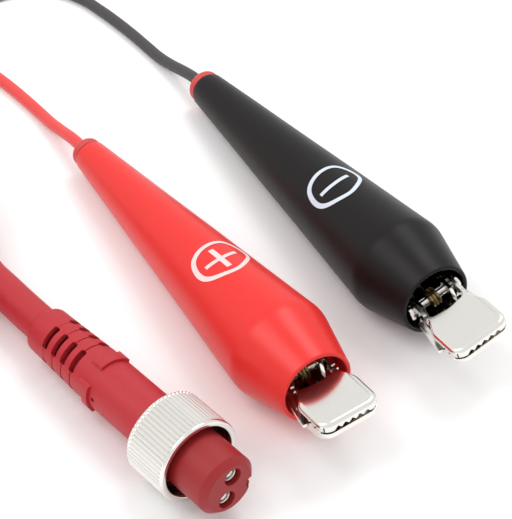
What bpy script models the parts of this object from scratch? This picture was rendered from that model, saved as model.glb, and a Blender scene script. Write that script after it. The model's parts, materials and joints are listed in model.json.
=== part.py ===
"""Twin alligator clip lead: two booted clips, split tails, round cable and a two-pin screw connector.

Metres, +Z up. The lead lies on the plane z = 0. The jaws point towards -Y.
Each clip is built round its pivot pin and the connector round its coupling nut, in a local frame
whose -Y axis points forwards, and an empty places that frame in the world.
"""

import math

import bmesh
import bpy
from mathutils import Matrix, Vector

MM = 0.001

# ---- driving dimensions, in millimetres ----
CLEARANCE = 0.3          # gap kept between pieces that touch
ROUND_SIDES = 32         # sides of a turned part
ARC_STEPS = 3            # steps in each rounded corner

# insulating boot, along its own axis from the mouth
BOOT_LENGTH = 80.4
BOOT_SHOULDER = 11.3
BOOT_SHOULDER_RADIUS = 9.6
BOOT_MOUTH_RADIUS = 6.8
BOOT_WALL = 0.85
BUSH_PROUD = 2.2         # length of the end bush that stands out behind the boot
BUSH_DEPTH = 6.0         # length of the end bush inside the boot

# clip, from its pivot pin; the jaw tip lies at -JAW_REACH
JAW_REACH = 15.5
JAW_HALF_WIDTH = 5.75
JAW_CORNER = 2.2         # rounding of each jaw's front corners, in plan
FRONT_TEETH_HALF_WIDTH = 3.5
PLATE_HEIGHT = 2.7       # top of the upper jaw at its tip, above the pivot's axis
TOOTH_LINE = 1.25        # height of the line where the jaws meet, at the tip
TROUGH_DEPTH = 0.3       # bottom of the lower jaw at its tip, below the pivot's axis
TOOTH_GAP = 0.22         # half of the gap between the closed rows of teeth
SHEET = 0.7              # thickness of the pressed steel
SIDE_TEETH_START = -14.1 # the teeth along each side of a jaw
SIDE_TEETH_END = -11.3
SIDE_TEETH = 2
FRONT_TEETH = 5
PLATE_REAR = -5.6        # rear edge of the upper jaw's plate
ARM_HALF_WIDTH = 4.4     # outer half width of the upper jaw's two arms
HANDLE_HALF_WIDTH = 3.1
TAB_REAR = (4.7, -2.9)   # middle of the flat tab beside the lower jaw, (x, y), at its rear end
TAB_FRONT = (5.9, -10.4)
TAB_WIDTH = 1.1
TAB_HEIGHT = -0.55       # middle of the tab's thickness, from the pivot's axis
TOOTH_DEPTH = 0.7
PIN_RADIUS = 0.85
PIN_HEAD_RADIUS = 1.5
PIN_HEAD_LENGTH = 0.7
HANDLE_END = 18.0
HANDLE_HEIGHT = 6.0
TAIL_END = 30.0
TAIL_DEPTH = 4.9
TAIL_HALF_WIDTH = 2.8
FERRULE_RADIUS = 1.75
FERRULE_START = 21.6
FERRULE_END = 28.4
FERRULE_HEIGHT = -2.2

WIRE_RADIUS = 1.2
CABLE_RADIUS = 3.3

# connector, from the middle of its coupling nut; the nose lies at -NOSE
NOSE = 12.3
FACE_RADIUS = 4.4
CHAMFER_LENGTH = 1.15
INSERT_RADIUS = 5.4
CONTACT_SPACING = 4.4
CONTACT_BORE = 1.6
CONTACT_RECESS = 0.8
CONTACT_WALL = 0.35
KEYWAY_RADIUS = 1.15
KEYWAY_DEPTH = 0.95
NUT_RADIUS = 7.7
NUT_HALF_LENGTH = 4.7
NUT_RIBS = 36
NUT_RIB_DEPTH = 0.22
NUT_LIP = 0.7            # smooth band at the front, without ribs
BODY_RADIUS = 4.85
BODY_END = 38.0
RELIEF_START = 23.4
SLOT_ROWS = 4
SLOT_PLACE = 24.4        # first row of slots, behind the nut's centre
SLOT_PITCH = 2.7
SLOT_WIDTH = 1.4
SLOT_LENGTH = 4.3
SLOT_FLOOR = 3.95        # distance from the axis to the bottom of a slot
SLOT_ANGLE = 33.5        # degrees about the axis to the middle of a slot; there are four round it
GRIP_PLACE = 20.1
GRIP_LENGTH = 2.4
GRIP_HEIGHT = 0.45
GRIP_ANGLES = (87.5, -21.5)
VENT_PLACE = 17.7
VENT_RADIUS = 0.45
VENT_ANGLE = -10.5

# clips: pivot place in mm; yaw, pitch and roll in degrees; distance from boot mouth to pivot
CLIPS = {
    "red": {"pivot": (-14.63, -34.37, 10.05), "yaw": 0.0, "pitch": 4.0, "roll": -6.0,
            "mouth": -5.0, "tail_radius": 3.3, "colour": (0.78, 0.035, 0.03)},
    "black": {"pivot": (14.48, -31.78, 10.35), "yaw": -1.2, "pitch": 4.0, "roll": -17.8,
              "mouth": -1.1, "tail_radius": 3.7, "colour": (0.018, 0.018, 0.02)},
}
CONNECTOR = {"place": (-39.0, -36.68, 7.95), "yaw": 8.1, "pitch": 3.2, "roll": -71.5}

# cord routes in millimetres, from the clip or connector outwards
RED_WIRE_ROUTE = [
    (-14.63, 43.35, 4.62), (-14.65, 48.0, 4.05), (-14.75, 53.0, 2.9), (-14.9, 58.0, 1.9),
    (-15.0, 63.0, 1.35), (-15.4, 68.0, 1.2), (-16.0, 73.0, 1.2), (-16.8, 78.0, 1.2),
    (-18.0, 83.5, 1.2), (-20.4, 88.8, 1.2), (-24.2, 93.4, 1.2), (-29.2, 96.8, 1.2),
    (-35.0, 98.6, 1.2), (-41.0, 99.4, 1.2), (-46.6, 99.0, 1.3), (-51.2, 97.0, 1.8),
    (-54.2, 94.8, 2.6), (-54.85, 92.2, 3.4), (-54.55, 90.05, 3.6),
]
BLACK_WIRE_ROUTE = [
    (16.19, 49.85, 4.65), (16.2, 53.5, 4.2), (16.1, 57.5, 3.3), (15.85, 62.0, 2.2),
    (15.6, 67.0, 1.35), (15.35, 72.0, 1.2), (14.95, 78.0, 1.2), (14.3, 84.0, 1.2),
    (13.4, 90.0, 1.2), (12.2, 95.5, 1.2), (9.8, 100.6, 1.2), (5.8, 104.6, 1.2),
    (0.6, 106.7, 1.2), (-5.5, 107.2, 1.2), (-12.0, 106.8, 1.2), (-19.0, 106.2, 1.2),
    (-26.0, 105.7, 1.2), (-33.0, 105.3, 1.2), (-40.0, 105.1, 1.2), (-46.6, 104.8, 1.2),
    (-52.6, 103.4, 1.3), (-56.9, 100.4, 1.7), (-59.1, 96.0, 2.5), (-59.45, 92.2, 3.4),
    (-59.1, 89.5, 3.6),
]
CABLE_ROUTE = [
    (-44.45, 1.62, 5.78), (-45.3, 8.0, 5.45), (-46.2, 14.0, 5.5), (-46.7, 18.0, 6.1),
    (-47.1, 21.0, 7.1),
]
COIL_CENTRE = (-83.4, 41.4)
COIL_RADIUS = 33.0       # at the middle of its turns
COIL_BOTTOM = 1.2        # height that the tie under it lifts the coil
COIL_TURNS = 2
EXIT_ROUTE = [(-54.03, 69.6, 3.6), (-54.35, 71.9, 3.6), (-54.68, 74.2, 3.6)]
JUNCTION_PLACE = (-55.75, 81.9, 3.7)
JUNCTION_YAW = 8.0
JUNCTION_SIZE = (9.0, 14.8, 7.2)
TIE_WIDTH = 6.0
TIE_THICKNESS = 0.7

RED = (0.78, 0.035, 0.03)
CRIMSON = (0.46, 0.022, 0.035)
BLACK = (0.018, 0.018, 0.02)
NICKEL = (0.80, 0.79, 0.76)
BRASS = (0.75, 0.58, 0.28)
COPPER = (0.78, 0.42, 0.25)

for scene_object in list(bpy.data.objects):
    bpy.data.objects.remove(scene_object, do_unlink=True)

cutter_collection = bpy.data.collections.new("cutters")
bpy.context.scene.collection.children.link(cutter_collection)


# ---- materials ----

def material(name, colour, roughness, metallic=0.0):
    """A plain Principled material, one for each sub-part."""
    made = bpy.data.materials.new(name)
    made.use_nodes = True
    shader = made.node_tree.nodes["Principled BSDF"]
    shader.inputs["Base Color"].default_value = (*colour, 1.0)
    shader.inputs["Roughness"].default_value = roughness
    shader.inputs["Metallic"].default_value = metallic
    return made


# ---- helpers ----

def rounded(corners):
    """Points of a closed outline given as corners (x, y, radius), each rounded by an arc."""
    points = []
    for index, (x, y, radius) in enumerate(corners):
        corner = Vector((x, y))
        if radius == 0:
            points.append(corner)
            continue
        before = Vector(corners[index - 1][:2]) - corner
        after = Vector(corners[(index + 1) % len(corners)][:2]) - corner
        half_angle = before.angle(after) / 2
        middle = (before.normalized() + after.normalized()).normalized()
        centre = corner + middle * radius / math.sin(half_angle)
        reach = radius / math.tan(half_angle)
        first = (corner + before.normalized() * reach - centre).normalized()
        last = (corner + after.normalized() * reach - centre).normalized()
        for step in range(ARC_STEPS + 1):
            points.append(centre + first.slerp(last, step / ARC_STEPS) * radius)
    return points


def new_object(name, mesh, parent, surface, collection=None):
    """An object of this mesh, in its parent's frame."""
    made = bpy.data.objects.new(name, mesh)
    (collection or bpy.context.scene.collection).objects.link(made)
    made.parent = parent
    if surface:
        made.data.materials.append(surface)
    return made


def turned(name, corners, parent, surface, sides=ROUND_SIDES, place=(0, 0)):
    """A part turned about the local Y axis.

    corners are (radius, distance backwards, rounding), down the outside from the rear end to the
    front, then back up the inside. place is the axis's (x, z).
    """
    outline = rounded(corners)
    mesh = bpy.data.meshes.new(name)
    profile = bmesh.new()
    points = [profile.verts.new((x * MM, 0, z * MM)) for x, z in outline]
    for first, second in zip(points, points[1:]):
        profile.edges.new((first, second))
    if outline[0][0] > 0:
        profile.edges.new((points[-1], points[0]))
    profile.to_mesh(mesh)
    profile.free()
    made = new_object(name, mesh, parent, surface)
    made.rotation_euler.x = math.radians(-90)
    made.location = (place[0] * MM, 0, place[1] * MM)
    screw = made.modifiers.new("turn", "SCREW")
    screw.steps = sides
    screw.render_steps = sides
    screw.use_merge_vertices = True
    screw.merge_threshold = 0.000001
    return made


def tube(name, points, radius, parent, surface):
    """A round wire or cord along points in millimetres."""
    curve = bpy.data.curves.new(name, "CURVE")
    curve.dimensions = "3D"
    curve.bevel_depth = radius * MM
    curve.bevel_resolution = 2
    curve.use_fill_caps = True
    spline = curve.splines.new("POLY")
    spline.points.add(len(points) - 1)
    for point, (x, y, z) in zip(spline.points, points):
        point.co = (x * MM, y * MM, z * MM, 1)
    return new_object(name, curve, parent, surface)


def extruded(name, outline, half_thickness, turn=None):
    """The mesh of a flat outline in millimetres, extruded both ways and then turned."""
    curve = bpy.data.curves.new(name, "CURVE")
    curve.dimensions = "2D"
    curve.fill_mode = "BOTH"
    curve.extrude = half_thickness * MM
    spline = curve.splines.new("POLY")
    spline.points.add(len(outline) - 1)
    for point, (x, y) in zip(spline.points, outline):
        point.co = (x * MM, y * MM, 0, 1)
    spline.use_cyclic_u = True
    source = new_object(name, curve, None, None)
    mesh = bpy.data.meshes.new_from_object(source)
    bpy.data.objects.remove(source, do_unlink=True)
    shape = bmesh.new()
    shape.from_mesh(mesh)
    bmesh.ops.remove_doubles(shape, verts=shape.verts, dist=0.0000001)
    if turn:
        bmesh.ops.transform(shape, matrix=turn, verts=shape.verts)
    bmesh.ops.recalc_face_normals(shape, faces=shape.faces)
    shape.to_mesh(mesh)
    shape.free()
    return mesh


# an outline's (x, y) becomes (y, z), extruded along X
SIDE_VIEW = Matrix(((0, 0, 1, 0), (1, 0, 0, 0), (0, 1, 0, 0), (0, 0, 0, 1)))
# an outline's (x, y) becomes (x, z), extruded along -Y
FRONT_VIEW = Matrix(((1, 0, 0, 0), (0, 0, -1, 0), (0, 1, 0, 0), (0, 0, 0, 1)))


def round_bar(radius, half_length, matrix, sides=16):
    """The mesh of a plain cylinder along local Z, moved by matrix; sizes in millimetres."""
    shape = bmesh.new()
    bmesh.ops.create_cone(shape, cap_ends=True, segments=sides, radius1=radius * MM,
                          radius2=radius * MM, depth=2 * half_length * MM, matrix=matrix)
    mesh = bpy.data.meshes.new("round_bar")
    shape.to_mesh(mesh)
    shape.free()
    return mesh


def block(size, place, turn=Matrix.Identity(4)):
    """The mesh of a box with these full sizes, centred on place; sizes in millimetres."""
    shape = bmesh.new()
    bmesh.ops.create_cube(shape, size=1)
    scale = Matrix.Diagonal((size[0] * MM, size[1] * MM, size[2] * MM, 1))
    move = Matrix.Translation(Vector(place) * MM)
    bmesh.ops.transform(shape, matrix=turn @ move @ scale, verts=shape.verts)
    mesh = bpy.data.meshes.new("block")
    shape.to_mesh(mesh)
    shape.free()
    return mesh


def cut(target, mesh, operation="DIFFERENCE"):
    """A Boolean of target with a hidden cutter in the same local frame."""
    cutter = new_object(target.name + "_cutter", mesh, target.parent, None, cutter_collection)
    cutter.hide_render = True
    cutter.display_type = "WIRE"
    step = target.modifiers.new("cut", "BOOLEAN")
    step.operation = operation
    step.solver = "EXACT"
    step.object = cutter
    return cutter


def placed_empty(name, place, yaw, pitch, roll):
    """An empty whose -Y axis points forwards, raised by pitch, and rolled about that axis."""
    empty = bpy.data.objects.new(name, None)
    bpy.context.scene.collection.objects.link(empty)
    turn = Matrix.Rotation(math.radians(yaw), 4, "Z")
    turn @= Matrix.Rotation(math.radians(-pitch), 4, "X")
    turn @= Matrix.Rotation(math.radians(roll), 4, "Y")
    empty.matrix_world = Matrix.Translation(Vector(place) * MM) @ turn
    return empty


def zigzag(start, end, teeth, offset):
    """Points of a row of teeth about height offset, from start to end."""
    points = []
    for tooth in range(teeth):
        left = start + (end - start) * tooth / teeth
        middle = left + (end - start) / teeth / 2
        points.append((left, offset - TOOTH_DEPTH / 2))
        points.append((middle, offset + TOOTH_DEPTH / 2))
    points.append((end, offset - TOOTH_DEPTH / 2))
    return points


# ---- clip ----

def boot(name, clip, parent, surface):
    """Thin tapered sleeve with a rounded shoulder behind its mouth."""
    mouth = clip["mouth"]
    shoulder = mouth + BOOT_SHOULDER
    tail = mouth + BOOT_LENGTH
    tail_radius = clip["tail_radius"]
    wall = BOOT_WALL
    return turned(name, [
        (tail_radius, tail, 0.3),
        (BOOT_SHOULDER_RADIUS + 0.1, shoulder, 7.0),
        (BOOT_MOUTH_RADIUS, mouth, 0.3),
        (BOOT_MOUTH_RADIUS - wall, mouth, 0.3),
        (BOOT_SHOULDER_RADIUS + 0.1 - wall, shoulder, 6.0),
        (tail_radius - wall, tail, 0.3),
    ], parent, surface)


def end_bush(name, clip, parent, surface):
    """Soft bush that closes the boot's small end round the wire."""
    tail = clip["mouth"] + BOOT_LENGTH
    outside = clip["tail_radius"] - 0.25
    neck = clip["tail_radius"] - BOOT_WALL - CLEARANCE
    bore = WIRE_RADIUS + 0.2
    return turned(name, [
        (bore, tail + BUSH_PROUD, 0),
        (outside, tail + BUSH_PROUD, 0.7),
        (outside, tail + CLEARANCE, 0.2),
        (neck, tail + CLEARANCE, 0),
        (neck, tail - BUSH_DEPTH, 0.3),
        (bore, tail - BUSH_DEPTH, 0),
    ], parent, surface)


def jaw_plan(inset, arm_half_width, rear_half_width, rear):
    """Plan outline of a jaw: wide in front, narrow at its arms, then its rear end."""
    front = JAW_HALF_WIDTH - inset
    arm = arm_half_width - inset
    back = rear_half_width - inset
    left = [
        (-back, rear, 0), (-back, 5.5, 0), (-arm, 4.0, 0), (-arm, -5.4, 0.8),
        (-front, -8.4, 2.5), (-front, inset - JAW_REACH, JAW_CORNER - inset * 0.8),
    ]
    return rounded(left + [(-x, y, radius) for x, y, radius in reversed(left)])


def upper_jaw(name, parent, surface):
    """Pressed upper jaw: plate with toothed skirt, two arms to the pin, and the squeeze handle."""
    middle = TOOTH_LINE + TOOTH_GAP
    side = [(-JAW_REACH, middle - TOOTH_DEPTH / 2), (SIDE_TEETH_START, middle - TOOTH_DEPTH / 2)]
    side += zigzag(SIDE_TEETH_START, SIDE_TEETH_END, SIDE_TEETH, middle)[1:]
    side += [
        (-10.9, 1.5), (-8.4, 1.2), (-2.4, 0.0), (-1.6, -1.9), (1.6, -1.9),
        (3.6, 1.2), (8.0, 2.6), (HANDLE_END, HANDLE_HEIGHT - 1.5), (HANDLE_END, HANDLE_HEIGHT),
        (9.0, 4.4), (2.0, 2.2), (-5.0, 2.1), (-12.0, PLATE_HEIGHT - 0.1), (-JAW_REACH, PLATE_HEIGHT),
    ]
    made = new_object(name, extruded(name, side, 6, SIDE_VIEW), parent, surface)
    plan = jaw_plan(0, ARM_HALF_WIDTH, HANDLE_HALF_WIDTH, HANDLE_END + 1)
    cut(made, extruded(name, plan, 10), "INTERSECT")
    hollow = [
        (-JAW_REACH + SHEET, -3), (-JAW_REACH + SHEET, PLATE_HEIGHT - SHEET),
        (-12.0, PLATE_HEIGHT - SHEET - 0.1), (-5.0, 2.1 - SHEET), (2.0, 2.2 - SHEET),
        (9.0, 4.4 - SHEET), (HANDLE_END + 1, HANDLE_HEIGHT + 0.2 - SHEET), (HANDLE_END + 1, -3),
    ]
    inside = cut(made, extruded(name, hollow, 6, SIDE_VIEW))
    inside_plan = jaw_plan(SHEET, ARM_HALF_WIDTH, HANDLE_HALF_WIDTH, HANDLE_END + 2)
    cut(inside, extruded(name, inside_plan, 10), "INTERSECT")
    gap = ARM_HALF_WIDTH - SHEET
    window = rounded([
        (-gap, 3.2, 0.6), (gap, 3.2, 0.6), (gap, PLATE_REAR + 0.4, 1.0), (0, PLATE_REAR - 0.3, 6.0),
        (-gap, PLATE_REAR + 0.4, 1.0),
    ])
    cut(made, extruded(name, window, 3, Matrix.Translation((0, 0, 3.5 * MM))))
    half = FRONT_TEETH_HALF_WIDTH
    front_teeth = zigzag(-half, half, FRONT_TEETH, middle)
    front_teeth = [(-half, -4)] + front_teeth + [(half, -4)]
    front_cut = FRONT_VIEW.copy()
    front_cut.translation.y = (-JAW_REACH + SHEET / 2) * MM
    cut(made, extruded(name, front_teeth, 0.8, front_cut))
    across = Matrix.Rotation(math.radians(90), 4, "Y")
    cut(made, round_bar(PIN_RADIUS + CLEARANCE, 6, across))
    return made


def lower_jaw(name, parent, surface):
    """Pressed lower jaw: toothed trough with a flat tab at each side, arms, crimp tail."""
    middle = TOOTH_LINE - TOOTH_GAP
    side = [(-JAW_REACH, middle - TOOTH_DEPTH / 2), (SIDE_TEETH_START, middle - TOOTH_DEPTH / 2)]
    side += zigzag(SIDE_TEETH_START, SIDE_TEETH_END, SIDE_TEETH, middle)[1:]
    side += [
        (-10.9, -0.2), (-8.5, -0.7), (-2.2, -1.0), (-1.8, 1.3), (1.8, 1.3), (3.4, -1.6), (8.0, -3.3),
        (FERRULE_START - 1.4, -3.5), (FERRULE_START - 0.6, -0.6), (FERRULE_END + 0.6, -0.6),
        (TAIL_END, -3.5), (TAIL_END, -TAIL_DEPTH), (8.0, -TAIL_DEPTH), (2.0, -3.6), (-5.0, -2.4),
        (-12.0, -TROUGH_DEPTH - 0.5), (-JAW_REACH, -TROUGH_DEPTH),
    ]
    made = new_object(name, extruded(name, side, 6, SIDE_VIEW), parent, surface)
    arm = ARM_HALF_WIDTH - SHEET - CLEARANCE
    plan = jaw_plan(0, arm, TAIL_HALF_WIDTH, TAIL_END + 1)
    cut(made, extruded(name, plan, 10), "INTERSECT")
    hollow = [
        (-JAW_REACH + SHEET, 3), (-JAW_REACH + SHEET, SHEET - TROUGH_DEPTH),
        (-12.0, SHEET - TROUGH_DEPTH - 0.5), (-5.0, SHEET - 2.4), (2.0, SHEET - 3.6),
        (8.0, SHEET - TAIL_DEPTH),
        (TAIL_END + 1, SHEET - TAIL_DEPTH), (TAIL_END + 1, 3),
    ]
    inside = cut(made, extruded(name, hollow, 6, SIDE_VIEW))
    inside_plan = jaw_plan(SHEET, arm, TAIL_HALF_WIDTH, TAIL_END + 2)
    cut(inside, extruded(name, inside_plan, 10), "INTERSECT")
    half = FRONT_TEETH_HALF_WIDTH
    front_teeth = zigzag(-half, half, FRONT_TEETH, middle)
    front_teeth = [(-half, 4)] + front_teeth + [(half, 4)]
    front_cut = FRONT_VIEW.copy()
    front_cut.translation.y = (-JAW_REACH + SHEET / 2) * MM
    cut(made, extruded(name, front_teeth, 0.8, front_cut))
    across = Matrix.Rotation(math.radians(90), 4, "Y")
    cut(made, round_bar(PIN_RADIUS + CLEARANCE, 6, across))
    for side_sign in (-1, 1):
        rear = Vector((side_sign * TAB_REAR[0], TAB_REAR[1], TAB_HEIGHT))
        front = Vector((side_sign * TAB_FRONT[0], TAB_FRONT[1], TAB_HEIGHT))
        slant = math.atan2(front.x - rear.x, rear.y - front.y)
        turn = Matrix.Translation((rear + front) / 2 * MM) @ Matrix.Rotation(slant, 4, "Z")
        cut(made, block((TAB_WIDTH, (front - rear).length, SHEET), (0, 0, 0), turn), "UNION")
    return made


def pivot_pin(name, parent, surface):
    """Riveted pin through both jaws' arms, with a head at each end."""
    head = ARM_HALF_WIDTH + CLEARANCE
    end = head + PIN_HEAD_LENGTH
    made = turned(name, [
        (0, end, 0), (PIN_HEAD_RADIUS, end, 0.35), (PIN_HEAD_RADIUS, head, 0), (PIN_RADIUS, head, 0),
        (PIN_RADIUS, -head, 0), (PIN_HEAD_RADIUS, -head, 0), (PIN_HEAD_RADIUS, -end, 0.35),
        (0, -end, 0),
    ], parent, surface, 16)
    made.rotation_euler = (0, math.radians(90), 0)
    return made


def torsion_spring(name, parent, surface):
    """Coil round the pin with one leg under the handle and one on the tail."""
    wire = 0.3
    coil = 1.5
    half_width = 0.8
    turns = 2.5
    steps = 30
    points = [(-half_width, 7.5, 2.6), (-half_width, 4.0, 1.55)]
    for step in range(steps + 1):
        angle = math.radians(90) + math.tau * turns * step / steps
        across = half_width * (2 * step / steps - 1)
        points.append((across, coil * math.cos(angle), coil * math.sin(angle)))
    points += [(half_width, 4.0, -1.8), (half_width, 7.5, -3.3)]
    return tube(name, points, wire, parent, surface)


def ferrule(name, parent, surface):
    """Crimped barrel in the lower jaw's tail, round the bared conductor."""
    bore = 0.95
    return turned(name, [
        (bore, FERRULE_END, 0), (FERRULE_RADIUS, FERRULE_END, 0.3),
        (FERRULE_RADIUS, FERRULE_START, 0.3), (bore, FERRULE_START, 0),
    ], parent, surface, 20, (0, FERRULE_HEIGHT))


def clip(colour_name, clip_facts):
    """One booted clip: boot, bush, jaws, pin, spring, ferrule, conductor and inner wire."""
    parent = placed_empty(colour_name + "_clip_place", clip_facts["pivot"], clip_facts["yaw"],
                          clip_facts["pitch"], clip_facts["roll"])
    label = colour_name + "_"
    steel = NICKEL
    boot(label + "boot", clip_facts, parent, material(label + "boot", clip_facts["colour"], 0.25))
    end_bush(label + "end_bush", clip_facts, parent, material(label + "end_bush", CRIMSON, 0.5))
    upper_jaw(label + "upper_jaw", parent, material(label + "upper_jaw", steel, 0.15, 1.0))
    lower_jaw(label + "lower_jaw", parent, material(label + "lower_jaw", steel, 0.15, 1.0))
    pivot_pin(label + "pivot_pin", parent, material(label + "pivot_pin", steel, 0.2, 1.0))
    torsion_spring(label + "torsion_spring", parent,
                   material(label + "torsion_spring", BRASS, 0.25, 1.0))
    ferrule(label + "crimp_ferrule", parent, material(label + "crimp_ferrule", steel, 0.25, 1.0))
    strands = [(0, FERRULE_START - 1.2, FERRULE_HEIGHT), (0, FERRULE_END + 1.0, FERRULE_HEIGHT)]
    tube(label + "conductor", strands, 0.65, parent, material(label + "conductor", COPPER, 0.3, 1.0))
    tail = clip_facts["mouth"] + BOOT_LENGTH
    start = FERRULE_END + 1.0 + CLEARANCE
    inner = [(0, start, FERRULE_HEIGHT), (0, start + 4, FERRULE_HEIGHT),
             (0, start + 12, FERRULE_HEIGHT * 0.72), (0, start + 22, FERRULE_HEIGHT * 0.2),
             (0, start + 28, 0), (0, tail - BUSH_DEPTH, 0), (0, tail + BUSH_PROUD, 0)]
    tube(label + "inner_wire", inner, WIRE_RADIUS, parent,
         material(label + "inner_wire", clip_facts["colour"], 0.4))


# ---- connector ----

def connector_body(parent):
    """Rubber overmould with a slotted strain relief, grip ridges and a bore for the cable."""
    front = NUT_HALF_LENGTH - 1.6
    bore = CABLE_RADIUS + CLEARANCE
    made = turned("connector_body", [
        (bore, BODY_END, 0.2), (4.35, BODY_END, 0.7), (4.4, BODY_END - 2.4, 0.4),
        (BODY_RADIUS, RELIEF_START, 4.0), (BODY_RADIUS, front, 0.3), (bore, front, 0),
    ], parent, material("connector_body", CRIMSON, 0.5))
    top = BODY_RADIUS + 1
    for row in range(SLOT_ROWS):
        middle = SLOT_PLACE + SLOT_PITCH * row
        for quarter in range(4):
            turn = Matrix.Rotation(math.radians(SLOT_ANGLE + 90 * quarter), 4, "Y")
            place = (0, middle, (SLOT_FLOOR + top) / 2)
            cut(made, block((SLOT_LENGTH, SLOT_WIDTH, top - SLOT_FLOOR), place, turn))
    for grip in GRIP_ANGLES:
        for step in (-24, 0, 24):
            turn = Matrix.Rotation(math.radians(grip + step), 4, "Y")
            size = (2.3, GRIP_LENGTH, 2 * GRIP_HEIGHT)
            cut(made, block(size, (0, GRIP_PLACE, BODY_RADIUS), turn), "UNION")
    turn = Matrix.Rotation(math.radians(VENT_ANGLE), 4, "Y")
    vent = turn @ Matrix.Translation((0, VENT_PLACE * MM, BODY_RADIUS * MM))
    cut(made, round_bar(VENT_RADIUS, 0.7, vent, 12))
    return made


def connector_insert(parent):
    """Plug face with two contact bores and a keyway, seated in the front of the overmould."""
    rear = NUT_HALF_LENGTH - 1.9
    made = turned("connector_insert", [
        (0, rear, 0), (5.9, rear, 0.2), (5.9, rear - 1.4, 0.2), (INSERT_RADIUS, rear - 1.4, 0),
        (INSERT_RADIUS, CHAMFER_LENGTH - NOSE, 0), (FACE_RADIUS, -NOSE, 0), (0, -NOSE, 0),
    ], parent, material("connector_insert", CRIMSON, 0.5), 40)
    along = Matrix.Rotation(math.radians(90), 4, "X")
    for side in (-1, 1):
        place = Matrix.Translation((side * CONTACT_SPACING / 2 * MM, 0, 0))
        cut(made, round_bar(CONTACT_BORE, 20, place @ along, 20))
    key = Matrix.Translation((0, -NOSE * MM, (KEYWAY_DEPTH - KEYWAY_RADIUS - FACE_RADIUS) * MM))
    cut(made, round_bar(KEYWAY_RADIUS, 6.0, key @ along, 16))
    return made


def contact(name, side, parent):
    """Tubular socket contact with a solder tail."""
    radius = CONTACT_BORE - CLEARANCE
    bore = radius - CONTACT_WALL
    front = CONTACT_RECESS - NOSE
    made = turned(name, [
        (0, 9.0, 0), (0.5, 9.0, 0.15), (0.5, 4.6, 0), (radius, 4.2, 0), (radius, front, 0.1),
        (bore, front, 0.1), (bore, -2.0, 0), (0, -1.6, 0),
    ], parent, material(name, NICKEL, 0.25, 1.0), 20)
    made.location.x = side * CONTACT_SPACING / 2 * MM
    return made


def coupling_nut(parent):
    """Knurled nut with a smooth front lip and a threaded mouth, turning behind the insert flange."""
    half = NUT_HALF_LENGTH
    made = turned("coupling_nut", [
        (BODY_RADIUS + CLEARANCE, half, 0), (NUT_RADIUS, half, 0.4), (NUT_RADIUS, -half, 0.4),
        (6.6, -half, 0.2), (6.6, half - 1.5, 0), (BODY_RADIUS + CLEARANCE, half - 1.5, 0),
    ], parent, material("coupling_nut", NICKEL, 0.25, 1.0), 2 * NUT_RIBS)
    ring = bmesh.new()
    groove_width = math.tau * NUT_RADIUS / NUT_RIBS / 2
    groove_length = 2 * half - NUT_LIP - 1.5
    groove_height = 2 * (NUT_RIB_DEPTH + 0.15)
    groove_size = (groove_width * MM, groove_length * MM, groove_height * MM, 1)
    for rib in range(NUT_RIBS):
        turn = Matrix.Rotation(math.tau * (rib + 0.5) / NUT_RIBS, 4, "Y")
        groove = Matrix.Translation((0, NUT_LIP / 2 * MM, (NUT_RADIUS + 0.15) * MM))
        size = Matrix.Diagonal(groove_size)
        bmesh.ops.create_cube(ring, size=1, matrix=turn @ groove @ size)
    grooves = bpy.data.meshes.new("grooves")
    ring.to_mesh(grooves)
    ring.free()
    cut(made, grooves)
    return made


def sealing_ring(parent):
    """Rubber O-ring on the insert, against its flange."""
    flange_front = NUT_HALF_LENGTH - 3.3
    inside = INSERT_RADIUS + 0.15
    return turned("sealing_ring", [
        (inside, flange_front - CLEARANCE, 0.3), (6.3, flange_front - CLEARANCE, 0.3),
        (6.3, flange_front - 1.3, 0.3), (inside, flange_front - 1.3, 0.3),
    ], parent, material("sealing_ring", BLACK, 0.6), 40)


def cable_core(name, side, colour, parent):
    """One insulated core from the cable's end to its contact."""
    reach = side * CONTACT_SPACING / 2
    route = [(reach * 0.48, 17.5, 0), (reach * 0.6, 14.0, 0), (reach * 0.9, 11.0, 0), (reach, 9.3, 0)]
    return tube(name, route, 0.8, parent, material(name, colour, 0.4))


def connector():
    """The two-pin screw connector on the end of the cable."""
    parent = placed_empty("connector_place", CONNECTOR["place"], CONNECTOR["yaw"],
                          CONNECTOR["pitch"], CONNECTOR["roll"])
    connector_body(parent)
    connector_insert(parent)
    contact("positive_contact", 1, parent)
    contact("negative_contact", -1, parent)
    coupling_nut(parent)
    sealing_ring(parent)
    cable_core("positive_core", 1, RED, parent)
    cable_core("negative_core", -1, BLACK, parent)
    jacket = [(0, 18.0, 0), (0, 24.0, 0), (0, BODY_END + 0.4, 0)]
    tube("cable_end_in_body", jacket, CABLE_RADIUS, parent,
         material("cable_end_in_body", CRIMSON, 0.5))


# ---- cable, coil, tie, junction and split tails ----

def cable_coil(surface):
    """The outer shape of the wound cable, turned about a vertical axis."""
    inside = COIL_RADIUS - CABLE_RADIUS
    outside = COIL_RADIUS + CABLE_RADIUS
    top = COIL_BOTTOM + 2 * CABLE_RADIUS * (COIL_TURNS + 0.5)
    made = turned("cable_coil", [
        (outside, top, 2.6), (outside, COIL_BOTTOM, 2.6), (inside, COIL_BOTTOM, 2.6),
        (inside, top, 2.6),
    ], None, surface, 40)
    made.rotation_euler.x = 0
    made.location = (COIL_CENTRE[0] * MM, COIL_CENTRE[1] * MM, 0)


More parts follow.
